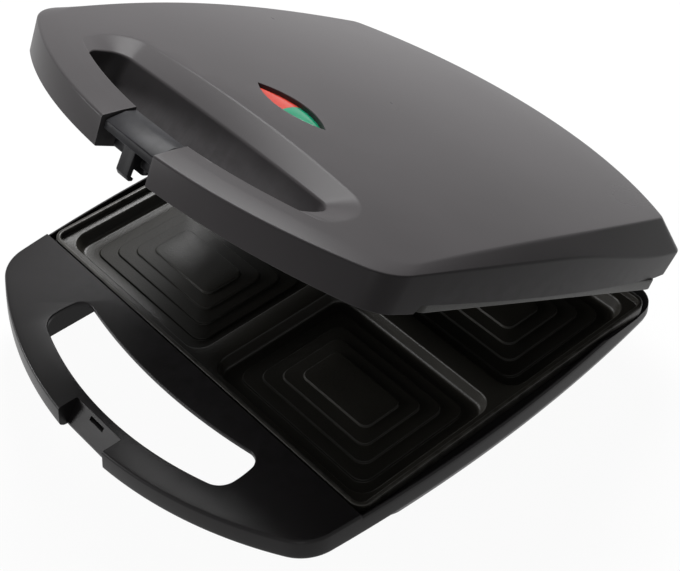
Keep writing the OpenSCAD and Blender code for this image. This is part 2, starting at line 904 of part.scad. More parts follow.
module lamp(s) {
    at_eye()
        translate([s * 5, 0, lens_top - lens_t - 3.6])
            rotate([0, s * 90, 0]) {
                cylinder(r = 2.6, h = 10);
                translate([0, 0, 10])
                    sphere(2.6);
            }
}

module red_lamp() {
    color([0.95, 0.55, 0.4])
        in_lid()
            lamp(-1);
}

module green_lamp() {
    color([0.6, 0.9, 0.6])
        in_lid()
            lamp(1);
}

module lamp_holder() {
    color([0.85, 0.84, 0.78])
        in_lid()
            at_eye()
                difference() {
                    box(-10, 10, -5, 5, lens_top - lens_t - 7, lens_top - lens_t - 0.5);
                    for (s = [-1, 1])
                        translate([s * 5 - (s < 0 ? 10 : 0), 0, lens_top - lens_t - 3.6])
                            rotate([0, 90, 0])
                                cylinder(r = 2.6 + fit, h = 10);
                }
}

// Sprung catch: a cover flush with the lid, two finger blocks under it and a hook between them
module latch() {
    color([0.33, 0.33, 0.35])
        in_lid()
            difference() {
                union() {
                    slice(notch_x - 0.8, [[9.5, 15.5], [14.5, 21.8], [20.5, 22.9], [20.8, 20.7], [15.6, 19.4],
                        [13.2, 16], [11.6, 13.2], [9.9, 13.3]]);
                    for (s = [-1, 1])
                        bar_x(s * 14.3 - 5.3, s * 14.3 + 5.3, latch_pin_y, latch_pin_z, 3.1);
                    for (s = [-1, 1])
                        translate([s * 11, 0, 0])
                            slice(6, [[11.2, 4], [10.6, 6], [11.2, 15], [13, 16.5], [17, 16], [16, 6], [15, 4]]);
                    slice(4.5, [[5.6, 13], [9.6, 16], [13, 19], [17.6, 18], [17.6, 12.6], [12, 10], [8.4, 2], [8.4, -2.3], [10.4, -2.4],
                        [9.9, -3.9], [7.6, -4], [5.6, -1.5]]);
                }
                bar_x(-25, 25, latch_pin_y, latch_pin_z, latch_pin_r + 0.06);
                bar_x(4.6, 7.8, latch_pin_y, latch_pin_z, latch_pin_r + 1.1);
            }
}

// Prism along x; its outline is given as distance behind the lid's front and height over the rim plane
module slice(x, pts) {
    translate([-x, lid_front, 0])
        rotate([90, 0, 90])
            linear_extrude(height = 2 * x)
                polygon(pts);
}

module latch_pin() {
    color([0.75, 0.75, 0.76])
        in_lid()
            bar_x(-notch_x - wall + 0.3, notch_x + wall - 0.3, latch_pin_y, latch_pin_z, latch_pin_r);
}

module latch_spring() {
    color([0.7, 0.7, 0.72])
        in_lid()
            translate([0, latch_pin_y, latch_pin_z])
                for (i = [0:3])
                    translate([5.3 + 0.6 * i, 0, 0])
                        rotate([0, 90, 0])
                            rotate_extrude()
                                translate([latch_pin_r + 0.45, 0])
                                    circle(0.35, $fn = 24);
}

module hinge_pin(s) {
    reach = knuckle_w / 2 + clear + 6;
    bar_x(s * hinge_x - reach - 0.5, s * hinge_x + reach + 0.5, hinge_y, 0, hinge_pin_r);
    bar_x(s * (hinge_x + reach + 0.9) - 0.8, s * (hinge_x + reach + 0.9) + 0.8, hinge_y, 0, hinge_pin_r + 1.2);
}

module hinge_pin_left() {
    color([0.7, 0.71, 0.73])
        in_base()
            hinge_pin(-1);
}

module hinge_pin_right() {
    color([0.7, 0.71, 0.73])
        in_base()
            hinge_pin(1);
}

base_shell();
rubber_feet();
lower_plate();
lower_heater();
lower_heater_clamps();
lower_reflector();
lower_plate_screws();
terminal_block();
thermal_fuse();
cord_inlet_bush();
hinge_pin_left();
hinge_pin_right();
lid_shell();
lid_frame();
lid_frame_screws();
upper_plate();
upper_heater();
upper_heater_clamps();
upper_reflector();
upper_plate_screws();
thermostat();
thermostat_strap();
lamp_holder();
red_lens();
green_lens();
red_lamp();
green_lamp();
latch();
latch_pin();
latch_spring();
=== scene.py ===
# %% [markdown]
# # A sandwich toaster, dressed over its measured frame
# The frame holds the toaster's real solids: two moulded shells, two cast plates, the hinge, the
# latch and what is inside. It fixes every place and size. This lesson keeps the plain hidden
# pieces as they are and builds the pieces that show again with soft edges and real finishes.
# Everything is in metres: +X is the toaster's right, -Y its handle side and +Z up.

import math

import bmesh
import bpy
import numpy as np
from mathutils import Matrix, Vector


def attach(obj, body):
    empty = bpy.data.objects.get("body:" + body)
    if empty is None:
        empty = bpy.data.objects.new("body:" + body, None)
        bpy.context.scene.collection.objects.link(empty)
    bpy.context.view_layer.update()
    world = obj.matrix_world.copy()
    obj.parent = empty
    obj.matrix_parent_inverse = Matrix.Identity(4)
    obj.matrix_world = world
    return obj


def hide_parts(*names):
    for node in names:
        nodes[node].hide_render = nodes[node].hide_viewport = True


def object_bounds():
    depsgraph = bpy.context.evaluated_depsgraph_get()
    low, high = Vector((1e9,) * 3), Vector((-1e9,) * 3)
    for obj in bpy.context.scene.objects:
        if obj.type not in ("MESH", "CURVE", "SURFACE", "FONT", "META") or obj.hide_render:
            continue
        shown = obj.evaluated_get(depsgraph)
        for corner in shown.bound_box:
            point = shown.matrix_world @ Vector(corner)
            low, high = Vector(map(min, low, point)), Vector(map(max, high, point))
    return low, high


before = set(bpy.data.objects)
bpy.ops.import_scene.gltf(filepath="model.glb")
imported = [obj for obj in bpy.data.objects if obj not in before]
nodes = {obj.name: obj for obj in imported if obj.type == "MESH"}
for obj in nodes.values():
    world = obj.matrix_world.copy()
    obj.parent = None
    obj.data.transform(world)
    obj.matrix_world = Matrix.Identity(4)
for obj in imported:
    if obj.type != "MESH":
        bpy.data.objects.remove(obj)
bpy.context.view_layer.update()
MM = 0.001
print("nodes in the frame:", len(nodes))

# %% [markdown]
# The photograph was taken from the front right, about 44 degrees above the table, with a long
# lens. The camera below stands where that view puts it. A long lens keeps far and near edges
# almost parallel, which is why the object fills the frame from almost a metre away.

# %% Camera
lens_camera = bpy.data.cameras.new("camera")
lens_camera.sensor_width = 36.0
lens_camera.lens = 1507.436 * 36.0 / 680.0
lens_camera.clip_start = 0.01
camera = bpy.data.objects.new("camera", lens_camera)
bpy.context.scene.collection.objects.link(camera)
right = Vector((0.66634297, 0.74563787, 0.00334813))
down = Vector((0.52249128, -0.46371401, -0.71552231))
ahead = Vector((-0.53196796, 0.47853263, -0.69858186))
turn = Matrix((right, -down, -ahead)).transposed().to_4x4()
camera.matrix_world = Matrix.Translation((0.48349, -0.42266, 0.66760)) @ turn
bpy.context.scene.camera = camera
print("lens, mm:", round(lens_camera.lens, 2))

# %% [markdown]
# A product shot like this one is lit by a few soft boxes over a pale table. One stands close behind
# the left rear corner and makes the lid fade from light to dark towards the camera. Two stand far
# off at the left and the front, low enough to catch the handle and the latch, and a weak one fills
# the right side. The floor and the world are white where a camera ray, a mirror ray or a ray
# through glass meets them, yet they light the object only a little, so the dark mouldings keep
# their depth. Light Path tells the kinds of rays apart.

# %% World, floor and lamps
scene = bpy.context.scene
scene.view_settings.view_transform = "Standard"


def node_tree(material):
    material.use_nodes = True
    tree = material.node_tree
    tree.nodes.clear()
    return tree


def white_for_camera(tree, plain, surface_input, white):
    rays = tree.nodes.new("ShaderNodeLightPath")
    seen = tree.nodes.new("ShaderNodeMath")
    seen.operation = "MAXIMUM"
    tree.links.new(rays.outputs["Is Camera Ray"], seen.inputs[0])
    tree.links.new(rays.outputs["Is Transmission Ray"], seen.inputs[1])
    any_seen = tree.nodes.new("ShaderNodeMath")
    any_seen.operation = "MAXIMUM"
    tree.links.new(seen.outputs[0], any_seen.inputs[0])
    tree.links.new(rays.outputs["Is Glossy Ray"], any_seen.inputs[1])
    mix = tree.nodes.new("ShaderNodeMixShader")
    tree.links.new(any_seen.outputs[0], mix.inputs["Fac"])
    tree.links.new(plain, mix.inputs[1])
    tree.links.new(white, mix.inputs[2])
    tree.links.new(mix.outputs[0], surface_input)


world = bpy.data.worlds.new("studio")
scene.world = world
world.use_nodes = True
sky = world.node_tree
sky.nodes.clear()
dim = sky.nodes.new("ShaderNodeBackground")
dim.inputs["Color"].default_value = (1, 1, 1, 1)
dim.inputs["Strength"].default_value = 0.10
bright = sky.nodes.new("ShaderNodeBackground")
bright.inputs["Color"].default_value = (1, 1, 1, 1)
bright.inputs["Strength"].default_value = 1.0
sky_out = sky.nodes.new("ShaderNodeOutputWorld")
white_for_camera(sky, dim.outputs[0], sky_out.inputs["Surface"], bright.outputs[0])

floor_mesh = bpy.data.meshes.new("floor")
floor_mesh.from_pydata([(-6, -6, 0), (6, -6, 0), (6, 6, 0), (-6, 6, 0)], [], [(0, 1, 2, 3)])
floor = bpy.data.objects.new("floor", floor_mesh)
scene.collection.objects.link(floor)
floor.location.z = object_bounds()[0][2] - 0.0002
table_top = bpy.data.materials.new("table_top")
tree = node_tree(table_top)
paint = tree.nodes.new("ShaderNodeBsdfDiffuse")
paint.inputs["Color"].default_value = (0.16, 0.16, 0.16, 1)
pale = tree.nodes.new("ShaderNodeBsdfDiffuse")
pale.inputs["Color"].default_value = (0.9, 0.9, 0.9, 1)
glow = tree.nodes.new("ShaderNodeEmission")
glow.inputs["Strength"].default_value = 1.0
tree_out = tree.nodes.new("ShaderNodeOutputMaterial")
shade = tree.nodes.new("ShaderNodeMixShader")
shade.inputs["Fac"].default_value = 0.95
tree.links.new(pale.outputs[0], shade.inputs[1])
tree.links.new(glow.outputs[0], shade.inputs[2])
white_for_camera(tree, paint.outputs[0], tree_out.inputs["Surface"], shade.outputs[0])
floor.data.materials.append(table_top)


def soft_box(name, place, size, power, aim=(0, 0, 0.1)):
    lamp = bpy.data.lights.new(name, "AREA")
    lamp.shape = "RECTANGLE"
    lamp.size, lamp.size_y = size
    lamp.energy = power
    thing = bpy.data.objects.new(name, lamp)
    thing.location = place
    thing.rotation_euler = (Vector(aim) - Vector(place)).to_track_quat("-Z", "Y").to_euler()
    scene.collection.objects.link(thing)
    return thing


soft_box("box_rear_left", (-0.46, 0.50, 0.86), (0.5, 0.4), 16.5, (-0.06, 0.1, 0.15))
soft_box("box_left", (-1.95, -1.45, 0.40), (0.6, 0.45), 20)
soft_box("box_front", (-1.25, -2.05, 0.42), (0.5, 0.4), 17)
soft_box("box_right", (1.5, -1.4, 0.2), (0.3, 0.3), 2.5)

# %% [markdown]
# Both shells have the same kind of plan: a bowed front, round corners, slightly bowed sides and a
# bowed rear. Drawing it from arcs that meet tangentially keeps every edge fair, and every ring
# gets the same number of points, so that rings at different heights join into a clean skin.

# %% Plan outlines from tangent arcs
FINE = (44, 22, 40, 16, 30)


def arc(centre, radius, start, end, count):
    t = np.radians(np.linspace(start, end, count + 1)[1:])
    return np.column_stack([centre[0] + radius * np.cos(t), centre[1] + radius * np.sin(t)])


def crossing(c1, r1, c2, r2, side):
    d = np.linalg.norm(c2 - c1)
    u = (c2 - c1) / d
    a = (r1 * r1 - r2 * r2 + d * d) / (2 * d)
    return c1 + a * u + side * math.sqrt(r1 * r1 - a * a) * np.array([-u[1], u[0]])


def heading(a, b):
    return math.degrees(math.atan2(b[1] - a[1], b[0] - a[0]))


def outline(o, fine=FINE):
    cf = np.array([0.0, o[0] + o[1]])
    cs = np.array([o[3] - o[4], o[5]], float)
    cr = np.array([0.0, o[6] - o[7]])
    pf = crossing(cf, o[1] - o[2], cs, o[4] - o[2], 1)
    pr = crossing(cs, o[4] - o[8], cr, o[7] - o[8], math.copysign(1, o[7]))
    af, side, ar = heading(cf, pf), heading(cs, pf), heading(cs, pr)
    ae = heading(cr, pr) if o[7] > 0 else heading(pr, cr)
    half = np.vstack([
        [[0.0, o[0]]], arc(cf, o[1], -90, af, fine[0]), arc(pf, o[2], af, side, fine[1]),
        arc(cs, o[4], side, ar, fine[2]), arc(pr, o[8], ar, ae, fine[3]), arc(cr, o[7], ae, 90, fine[4])])
    return np.vstack([half, half[-2:0:-1] * [-1, 1]])


def inset(o, d):
    return [o[0] + d, o[1] - d, max(o[2] - d, 3), o[3] - d, o[4] - d, o[5],
            o[6] - d, o[7] - d, max(o[8] - d, 3)]


def level(points, z):
    return np.column_stack([points, np.broadcast_to(z, len(points))])


PLATE_W, PLATE_D, RIM_Z, WALL = 280.0, 228.0, 46.0, 2.6
HALF_D = PLATE_D / 2
HINGE_Y = HALF_D + 16.7
BASE_FRONT = -HALF_D - 78
LID_FRONT = BASE_FRONT + 2
SIDE_X, SIDE_R = 149.0, 133.0 ** 2 / (2 * 8.84)
LID_SIDE_R = 141.0 ** 2 / (2 * 7.84)
BASE_PLAN = [BASE_FRONT, 247, 28, SIDE_X, SIDE_R, -19, HINGE_Y + 4.3, 900, 16]
KEEL_PLAN = [-HALF_D - 2, 900, 18, SIDE_X, SIDE_R, -19, HINGE_Y + 4.3, 900, 16]
GRIP_PLAN = [BASE_FRONT + 19, 228, 12, 82, 60, -HALF_D - 33, -HALF_D - 23.8, -384, 8]
LID_PLAN = [LID_FRONT, 245, 27, 147, LID_SIDE_R, -27, HINGE_Y + 13.3, 900, 14]
LID_TOP_PLAN = [LID_FRONT + 12, 233, 24, 139.7, LID_SIDE_R, -54, HALF_D + 26, 245, 7]
WELL_PLAN = [LID_FRONT + 20, 225, 11, 85, 60, -HALF_D - 29, -HALF_D - 13, 1500, 10]
WELL_LOW_PLAN = [LID_FRONT + 20, 225, 9, 84, 60, -HALF_D - 31, -HALF_D - 20, 1500, 7]
WELL_RIM_PLAN = [LID_FRONT + 20, 225, 10, 99, 70, -HALF_D - 22, -HALF_D + 0.5, 1200, 19]
print("points in a ring:", len(outline(BASE_PLAN)))

# %% [markdown]
# A moulded shell is a skin through a stack of rings. A mould never leaves a knife edge, so the
# rings on either side of an edge are blended by a short curve. The helpers here turn rings into a
# closed mesh, blend an edge, and cut one closed mesh out of another.

# %% Lofting, softening and cutting
def soften(rings, cuts, steps=4):
    out = []
    for k, ring in enumerate(rings):
        cut = cuts.get(k, 0)
        if not cut:
            out.append(ring)
            continue
        back, on = rings[k - 1] - ring, rings[k + 1] - ring
        lb = np.linalg.norm(back, axis=1, keepdims=True)
        lo = np.linalg.norm(on, axis=1, keepdims=True)
        a = ring + back / lb * np.minimum(cut, lb * 0.45)
        b = ring + on / lo * np.minimum(cut, lo * 0.45)
        for t in np.linspace(0, 1, steps + 1):
            out.append((1 - t) ** 2 * a + 2 * t * (1 - t) * ring + t * t * b)
    return out


def loft(name, rings, place=None):
    count, layers = len(rings[0]), len(rings)
    points = np.vstack(list(rings) + [rings[0].mean(axis=0)[None], rings[-1].mean(axis=0)[None]])
    i = np.arange(count)
    j = (i + 1) % count
    faces = []
    for k in range(layers - 1):
        faces += np.column_stack([k * count + i, k * count + j, (k + 1) * count + j, (k + 1) * count + i]).tolist()
    faces += np.column_stack([j, i, np.full(count, layers * count)]).tolist()
    top = (layers - 1) * count
    faces += np.column_stack([top + i, top + j, np.full(count, layers * count + 1)]).tolist()
    mesh = bpy.data.meshes.new(name)
    mesh.from_pydata((points * MM).tolist(), [], faces)
    mesh.validate()
    piece = bpy.data.objects.new(name, mesh)
    scene.collection.objects.link(piece)
    if place is not None:
        mesh.transform(place)
    return piece


def prism(name, points, low, high, axis="z"):
    flat = np.asarray(points, float)
    if np.sum(flat[:, 0] * np.roll(flat[:, 1], -1) - np.roll(flat[:, 0], -1) * flat[:, 1]) < 0:
        flat = flat[::-1]
    solid = np.vstack([level(flat, low), level(flat, high)])
    if axis == "x":
        solid = solid[:, [2, 0, 1]]
    n = len(flat)
    faces = [[i, (i + 1) % n, n + (i + 1) % n, n + i] for i in range(n)]
    mesh = bpy.data.meshes.new(name)
    mesh.from_pydata((solid * MM).tolist(), [], faces + [list(range(n))[::-1], list(range(n, 2 * n))])
    piece = bpy.data.objects.new(name, mesh)
    scene.collection.objects.link(piece)
    return piece


def eased(piece, radius, steps=3, angle=25.0):
    mesh = bmesh.new()
    mesh.from_mesh(piece.data)
    bmesh.ops.remove_doubles(mesh, verts=mesh.verts, dist=1e-6)
    edges = [e for e in mesh.edges if len(e.link_faces) == 2 and e.calc_face_angle(0) > math.radians(angle)]
    bmesh.ops.bevel(mesh, geom=edges, offset=radius * MM, offset_type="OFFSET", segments=steps, profile=0.5,
                    affect="EDGES", clamp_overlap=True)
    mesh.to_mesh(piece.data)
    mesh.free()
    return piece


def block(name, x0, x1, y0, y1, z0, z1):
    return prism(name, [(x0, y0), (x1, y0), (x1, y1), (x0, y1)], z0, z1)


def rod(name, start, end, radius, sides=48):
    start, end = np.array(start, float), np.array(end, float)
    along = Vector(end - start)
    t = np.linspace(0, 2 * math.pi, sides, endpoint=False)
    ring = np.column_stack([radius * np.cos(t), radius * np.sin(t), np.zeros(sides)])
    place = Matrix.Translation(Vector(start) * MM) @ along.to_track_quat("Z", "Y").to_matrix().to_4x4()
    return loft(name, [ring, ring + [0, 0, along.length]], place)


def settled(piece):
    graph = bpy.context.evaluated_depsgraph_get()
    mesh = bpy.data.meshes.new_from_object(piece.evaluated_get(graph))
    old = piece.data
    piece.modifiers.clear()
    piece.data = mesh
    mesh.name = piece.name
    bpy.data.meshes.remove(old)


def combine(piece, others, how="DIFFERENCE"):
    for other in others:
        step = piece.modifiers.new("combine", "BOOLEAN")
        step.operation = how
        step.solver = "MANIFOLD"
        step.object = other
        bpy.context.view_layer.update()
        settled(piece)
        bpy.data.objects.remove(other)
    return piece


def smooth_by_angle(piece, angle=32.0):
    mesh = bmesh.new()
    mesh.from_mesh(piece.data)
    bmesh.ops.remove_doubles(mesh, verts=mesh.verts, dist=2e-6)
    bmesh.ops.dissolve_degenerate(mesh, edges=mesh.edges, dist=2e-6)
    bmesh.ops.recalc_face_normals(mesh, faces=mesh.faces)
    for face in mesh.faces:
        face.smooth = True
    for edge in mesh.edges:
        edge.smooth = len(edge.link_faces) == 2 and edge.calc_face_angle(0) < math.radians(angle)
    mesh.to_mesh(piece.data)
    mesh.free()
    return piece


def finished(piece, body, slot, material, *stands_for):
    piece.data.materials.clear()
    piece.data.materials.append(material)
    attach(piece, body)
    if stands_for:
        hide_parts(*stands_for)
    size = [round(v * 1000, 1) for v in piece.dimensions]
    print(piece.name, "faces:", len(piece.data.polygons), "size, mm:", size)


OPEN_ANGLE = math.radians(29.6)
OPEN_REAR = HINGE_Y + 9.3 * math.cos(OPEN_ANGLE) + 48.3 * math.sin(OPEN_ANGLE)
SHIFT = -(BASE_FRONT + OPEN_REAR) / 2
IN_BASE = Matrix.Translation((0, SHIFT * MM, RIM_Z * MM))
IN_LID = (Matrix.Translation((0, (HINGE_Y + SHIFT) * MM, RIM_Z * MM)) @ Matrix.Rotation(-OPEN_ANGLE, 4, "X")
          @ Matrix.Translation((0, -HINGE_Y * MM, 0)))
print("helpers ready; the lid is drawn open by", round(math.degrees(OPEN_ANGLE), 1), "degrees")

# %% [markdown]
# The lid is the moulding that the eye meets first. A wall leans out to a crease that climbs from the
# handle to the rear, a bevelled band runs above it, and the top is a shallow dome. The finger well
# and the eye-shaped window are cut through with a small radius round each rim.

# %% Lid shell
def rise(y):
    return 48.3 - 9.3 * (np.maximum(96 - y, 0) / 181) ** 2.5 - np.maximum(y - 96, 0) ** 2 / 1800


def top_z(p):
    return rise(p[:, 1]) - 6.0 * (p[:, 0] / 140) ** 2


def crease_z(y):
    t = np.clip((y + 4) / 110, 0, 1)
    back = 30.8 - 6.8 * t * t * (3 - 2 * t)
    fore = 30.8 - 12.3 * (np.maximum(-4 - y, 0) / 186) ** 1.6
    return np.where(y < -4, fore, back)


def lid_solid(name, d, under):
    low, wide, top = (outline(inset(o, e)) for o, e in ((LID_PLAN, 1.8 + d), (LID_PLAN, d), (LID_TOP_PLAN, d)))
    rings = [level(low * [0.96, 0.96], under), level(low, under), level(wide, crease_z(wide[:, 1]) - d / 2)]
    for k in (1, 0.985, 0.96, 0.93, 0.89, 0.84, 0.78, 0.71, 0.63, 0.54, 0.44, 0.33, 0.22, 0.11, 0.03):
        ring = top * k + [0, -20 * (1 - k)]
        rings.append(level(ring, top_z(ring) - d))
    return loft(name, soften(rings, {1: 0.8, 2: 1.3, 3: 1.8} if d == 0 else {}, 6))


def well(name, d, lowest, highest, rim_r=0.0):
    low, mid, rim = (outline(inset(o, -d)) for o in (WELL_LOW_PLAN, WELL_PLAN, WELL_RIM_PLAN))
    top = top_z(rim)
    knee = np.minimum(25, top - 1.5)
    a, b = level(mid, knee), level(rim, top)
    rings = [level(low, lowest), a]
    if rim_r:
        wide = outline(inset(WELL_RIM_PLAN, -rim_r * 1.6))
        rings += [b, level(wide, top_z(wide) + 0.03)]
        rings = soften(rings + [level(wide, highest)], {1: 1.2, 2: rim_r}, 7)
    else:
        out = a + 1.3 * (b - a)
        rings += [out, level(out[:, :2], highest)]
    return loft(name, rings)


EYE_Y = -HALF_D + 29.5
EYE_TILT = math.atan(9.3 * 2.5 * ((96 - EYE_Y) / 181) ** 1.5 / 181)
EYE_L, EYE_W = 54.0, 17.0
EYE_R = (EYE_L ** 2 / 4 + EYE_W ** 2 / 4) / EYE_W
AT_EYE = (Matrix.Translation((0, EYE_Y * MM, float(rise(np.array(EYE_Y))) * MM))
          @ Matrix.Rotation(EYE_TILT, 4, "X"))


def eye_outline(d, count=40):
    radius, drop = EYE_R + d, EYE_R - EYE_W / 2
    reach = math.asin(math.sqrt(radius ** 2 - drop ** 2) / radius)
    t = np.linspace(-reach, reach, count + 1)[:-1]
    upper = np.column_stack([-radius * np.sin(t), radius * np.cos(t) - drop])
    return np.vstack([upper, -upper])


def eye_cutter(name, rings):
    return loft(name, [level(eye_outline(d), z) for d, z in rings], AT_EYE)


NOTCH_X, PIN_Y, PIN_Z = 20.4, LID_FRONT + 14.4, 15.0
lid_shell = lid_solid("lid_shell", 0, 2.0)
inside = lid_solid("inside", WALL, 1.0)
ribs = [well("rib", WALL, 0, 70), eye_cutter("rib", [(WALL, -6.5), (WALL, 6)])]
ribs += [block("rib", s * (NOTCH_X + WALL / 2) - WALL / 2 - 1, s * (NOTCH_X + WALL / 2) + WALL / 2 + 1,
               LID_FRONT - 5, LID_FRONT + 22, 0, 60) for s in (-1, 1)]
for s in (-1, 1):
    ribs.append(rod("rib", (s * 108, -HALF_D - 36, 7.05), (s * 108, -HALF_D - 36, 60), 4.8))
    ribs.append(rod("rib", (s * 40, HALF_D + 9, 9.6), (s * 40, HALF_D + 9, 60), 4.8))
combine(inside, ribs)
side_cut = prism("cut", [(-118.2, -5), (-118.2, 2), (-115.2, 7.15), (114, 7.15), (122, 8), (200, 8), (200, -5)],
                 -200, 200, "x")
combine(lid_shell, [
    inside, well("cut", 0, -1, 71, 1.4),
    block("cut", -NOTCH_X, NOTCH_X, LID_FRONT - 8, LID_FRONT + 23, -5, 60), side_cut,
    eye_cutter("cut", [(0, -12), (0, -0.7), (0.12, -0.35), (0.5, 0.05), (0.5, 8)]),
    rod("cut", (-NOTCH_X - WALL - 2, PIN_Y, PIN_Z), (NOTCH_X + WALL + 2, PIN_Y, PIN_Z), 1.52)])
for s in (-1, 1):
    combine(lid_shell, [rod("cut", (s * 108, -HALF_D - 36, 1), (s * 108, -HALF_D - 36, 20), 2.05),
                        rod("cut", (s * 40, HALF_D + 9, 7), (s * 40, HALF_D + 9, 23), 2.05)])
lid_shell.data.transform(IN_LID)
smooth_by_angle(lid_shell)
print("lid shell faces:", len(lid_shell.data.polygons))

# %% [markdown]
# The base is one moulding too: a deck that runs forward into the handle, a ledge that the lower
# plate sits on, and a keel that narrows down to the table. A thin lip stands up along both sides
# and leaves a narrow groove beside the plate, which shows as a black line in the photograph. The
# shell is hollow from below. Under the deck the finger opening widens into a straight-ended room
# with a rib round it, because the photograph shows the white table through a straight far edge.
# Four screw towers stand under the plate.

# %% Base shell
BOTTOM = 6.0 - RIM_Z
LEDGE_Z = -6.55
DECK_EDGE = -HALF_D - 1.2
POSTS = [(x, y) for x in (-98, 98) for y in (-72, 72)]
FEET = [(x, y) for x in (-96, 96) for y in (-82, 82)]


def rounded(w, d, r, count=8):
    ring = []
    for q, (sx, sy) in enumerate(((1, 1), (-1, 1), (-1, -1), (1, -1))):
        t = np.radians(np.linspace(90 * q, 90 * q + 90, count + 1))
        ring.append(np.column_stack([sx * (w / 2 - r) + r * np.cos(t), sy * (d / 2 - r) + r * np.sin(t)]))
    return np.vstack(ring)


def base_loft(name, plan, steps, soft):
    return loft(name, soften([level(outline(inset(plan, d)), z) for d, z in steps], soft, 5))


def base_hull(name, d, lift):
    return base_loft(name, KEEL_PLAN, [
        (34 + d, BOTTOM + lift), (30 + d, BOTTOM + lift), (25.5 + d, BOTTOM + 2 + lift),
        (14.5 + d, BOTTOM + 12 + lift / 2), (7.5 + d, BOTTOM + 18 + lift / 2),
        (1.2 + d, BOTTOM + 23.5), (0.5 + d, BOTTOM + 27 + lift)],
        {} if d else {1: 2.0, 2: 1.2, 3: 4, 4: 4, 5: 2})


base_shell = base_loft("base_shell", BASE_PLAN, [
    (8, -15.5), (3, -15.5), (0, -13), (0.4, -7), (1, -1.2), (1.8, 0), (5, 0)],
    {1: 1.6, 2: 1.6, 3: 2.5, 4: 0.7, 5: 0.9})
combine(base_shell, [base_hull("keel", 0, 0)], "UNION")
def grip_room(d):
    x = np.linspace(-82 - d, 82 + d, 41)
    front = GRIP_PLAN[0] + GRIP_PLAN[1] - np.sqrt((GRIP_PLAN[1] + d) ** 2 - x * x)
    rear = -HALF_D - 10 + d
    return np.vstack([np.column_stack([x, front]), [[82 + d, rear], [-82 - d, rear]]])


hollow = prism("hollow", outline(inset(BASE_PLAN, WALL + 2)), -16.5, -WALL)
combine(hollow, [block("cut", -200, 200, -HALF_D - 4, 200, -40, 5)])
rear_part = prism("hollow", outline(inset(BASE_PLAN, WALL + 2)), -16.5, LEDGE_Z - WALL)
combine(rear_part, [block("cut", -200, 200, -300, -HALF_D - 2 + WALL, -40, 5)])
combine(hollow, [rear_part, base_hull("keel", WALL, WALL)], "UNION")
combine(hollow, [prism("rib", grip_room(WALL), -18.5, -1),
                 block("rib", -NOTCH_X - WALL, NOTCH_X + WALL, BASE_FRONT - 1, BASE_FRONT + 20, -20, -1)]
        + [rod("rib", (x, y, BOTTOM + 1), (x, y, -28.05), 7.0) for x, y in POSTS])


def opening_cutter(name, r):
    t = np.radians(np.linspace(0, 90, 7)[1:])
    steps = [(0, -6), (0, -r)] + [(-r * (1 - math.cos(a)), -r * (1 - math.sin(a))) for a in t] + [(-r, 5)]
    return loft(name, [level(outline(inset(GRIP_PLAN, d)), z) for d, z in steps])


LIP, LIP_Z = 2.8, -1.6
above_lip = block("cut", -200, 200, DECK_EDGE, 200, -3.4, 5)
combine(above_lip, [base_loft("lip", BASE_PLAN, [
    (0.77, -6), (0.77, -3.4), (1.0, -2.4), (1.6, -1.8), (2.4, LIP_Z), (5, LIP_Z)], {})])
inside_lip = prism("cut", outline(inset(BASE_PLAN, LIP)), LEDGE_Z, 6)
combine(inside_lip, [block("cut", -200, 200, -300, DECK_EDGE, -40, 10)])
combine(base_shell, [
    hollow, above_lip, inside_lip,
    prism("cut", rounded(PLATE_W + 1.6, PLATE_D + 1.6, 8.8), LEDGE_Z, 5),
    prism("cut", [(64, 5), (64, 0), (72, LIP_Z), (104, LEDGE_Z), (200, LEDGE_Z), (200, 5)], -200, 200, "x"),
    prism("cut", rounded(PLATE_W - 10.4, PLATE_D - 10.4, 7), -12, 8),
    opening_cutter("cut", 0.8), prism("cut", grip_room(0), -40, -WALL),
    prism("cut", [(BASE_FRONT + 14.5, 1), (BASE_FRONT + 14.5, -0.7), (BASE_FRONT + 5.8, -13.8),
                  (BASE_FRONT + 5.8, -30), (BASE_FRONT - 5, -30), (BASE_FRONT - 5, 1)], -NOTCH_X, NOTCH_X, "x"),
    block("cut", -6, 6, BASE_FRONT + 9, BASE_FRONT + 15.3, -4.8, -2.4)])
for x, y in POSTS:
    combine(base_shell, [rod("cut", (x, y, BOTTOM - 1), (x, y, -1), 2.3),
                         rod("cut", (x, y, BOTTOM - 1), (x, y, -30.65), 4.2)])
for x, y in FEET:
    combine(base_shell, [rod("cut", (x, y, BOTTOM - 1), (x, y, BOTTOM + 1.5), 7.0)])
combine(base_shell, [rod("cut", (60, HINGE_Y + 6.3, -21), (60, HINGE_Y - 17.7, -21), 6.0)])
for i in range(-3, 4):
    combine(base_shell, [prism("cut", rounded(4.2, 40, 2) + [i * 14, 0], BOTTOM - 1, BOTTOM + 3.6)])
ears = []
for s in (-1, 1):
    for t in (-1, 1):
        x = s * 84 + t * 11.4
        ear = block("ear", x - 3, x + 3, HINGE_Y - 4.7, HINGE_Y + 3.4, LEDGE_Z - 1, 0)
        combine(ear, [rod("ear", (x - 3, HINGE_Y, 0), (x + 3, HINGE_Y, 0), 5.5, 64)], "UNION")
        ears.append(ear)
combine(base_shell, ears, "UNION")
for s in (-1, 1):
    combine(base_shell, [rod("cut", (s * 84 - 16, HINGE_Y, 0), (s * 84 + 16, HINGE_Y, 0), 2.5, 64)])
base_shell.data.transform(IN_BASE)
smooth_by_angle(base_shell)
print("base shell faces:", len(base_shell.data.polygons))

# %% [markdown]
# Each plate is one casting. Its four cooking fields are nested rounded squares that step up towards
# the middle and give whatever is cooked its pattern. One stack of rings draws a whole field: up the
# steps from the middle, across the floor, up the sloping wall and over the rounded edge.

# %% Cooking plates
RIM_T, FIELD_DEPTH, DIVIDER_W, DIVIDER_DROP = 2.6, 13.0, 13.0, 4.5
FIELD_W = (PLATE_W - 2 * RIM_T - 10 - DIVIDER_W) / 2
FIELD_D = (PLATE_D - 2 * RIM_T - 10 - DIVIDER_W) / 2


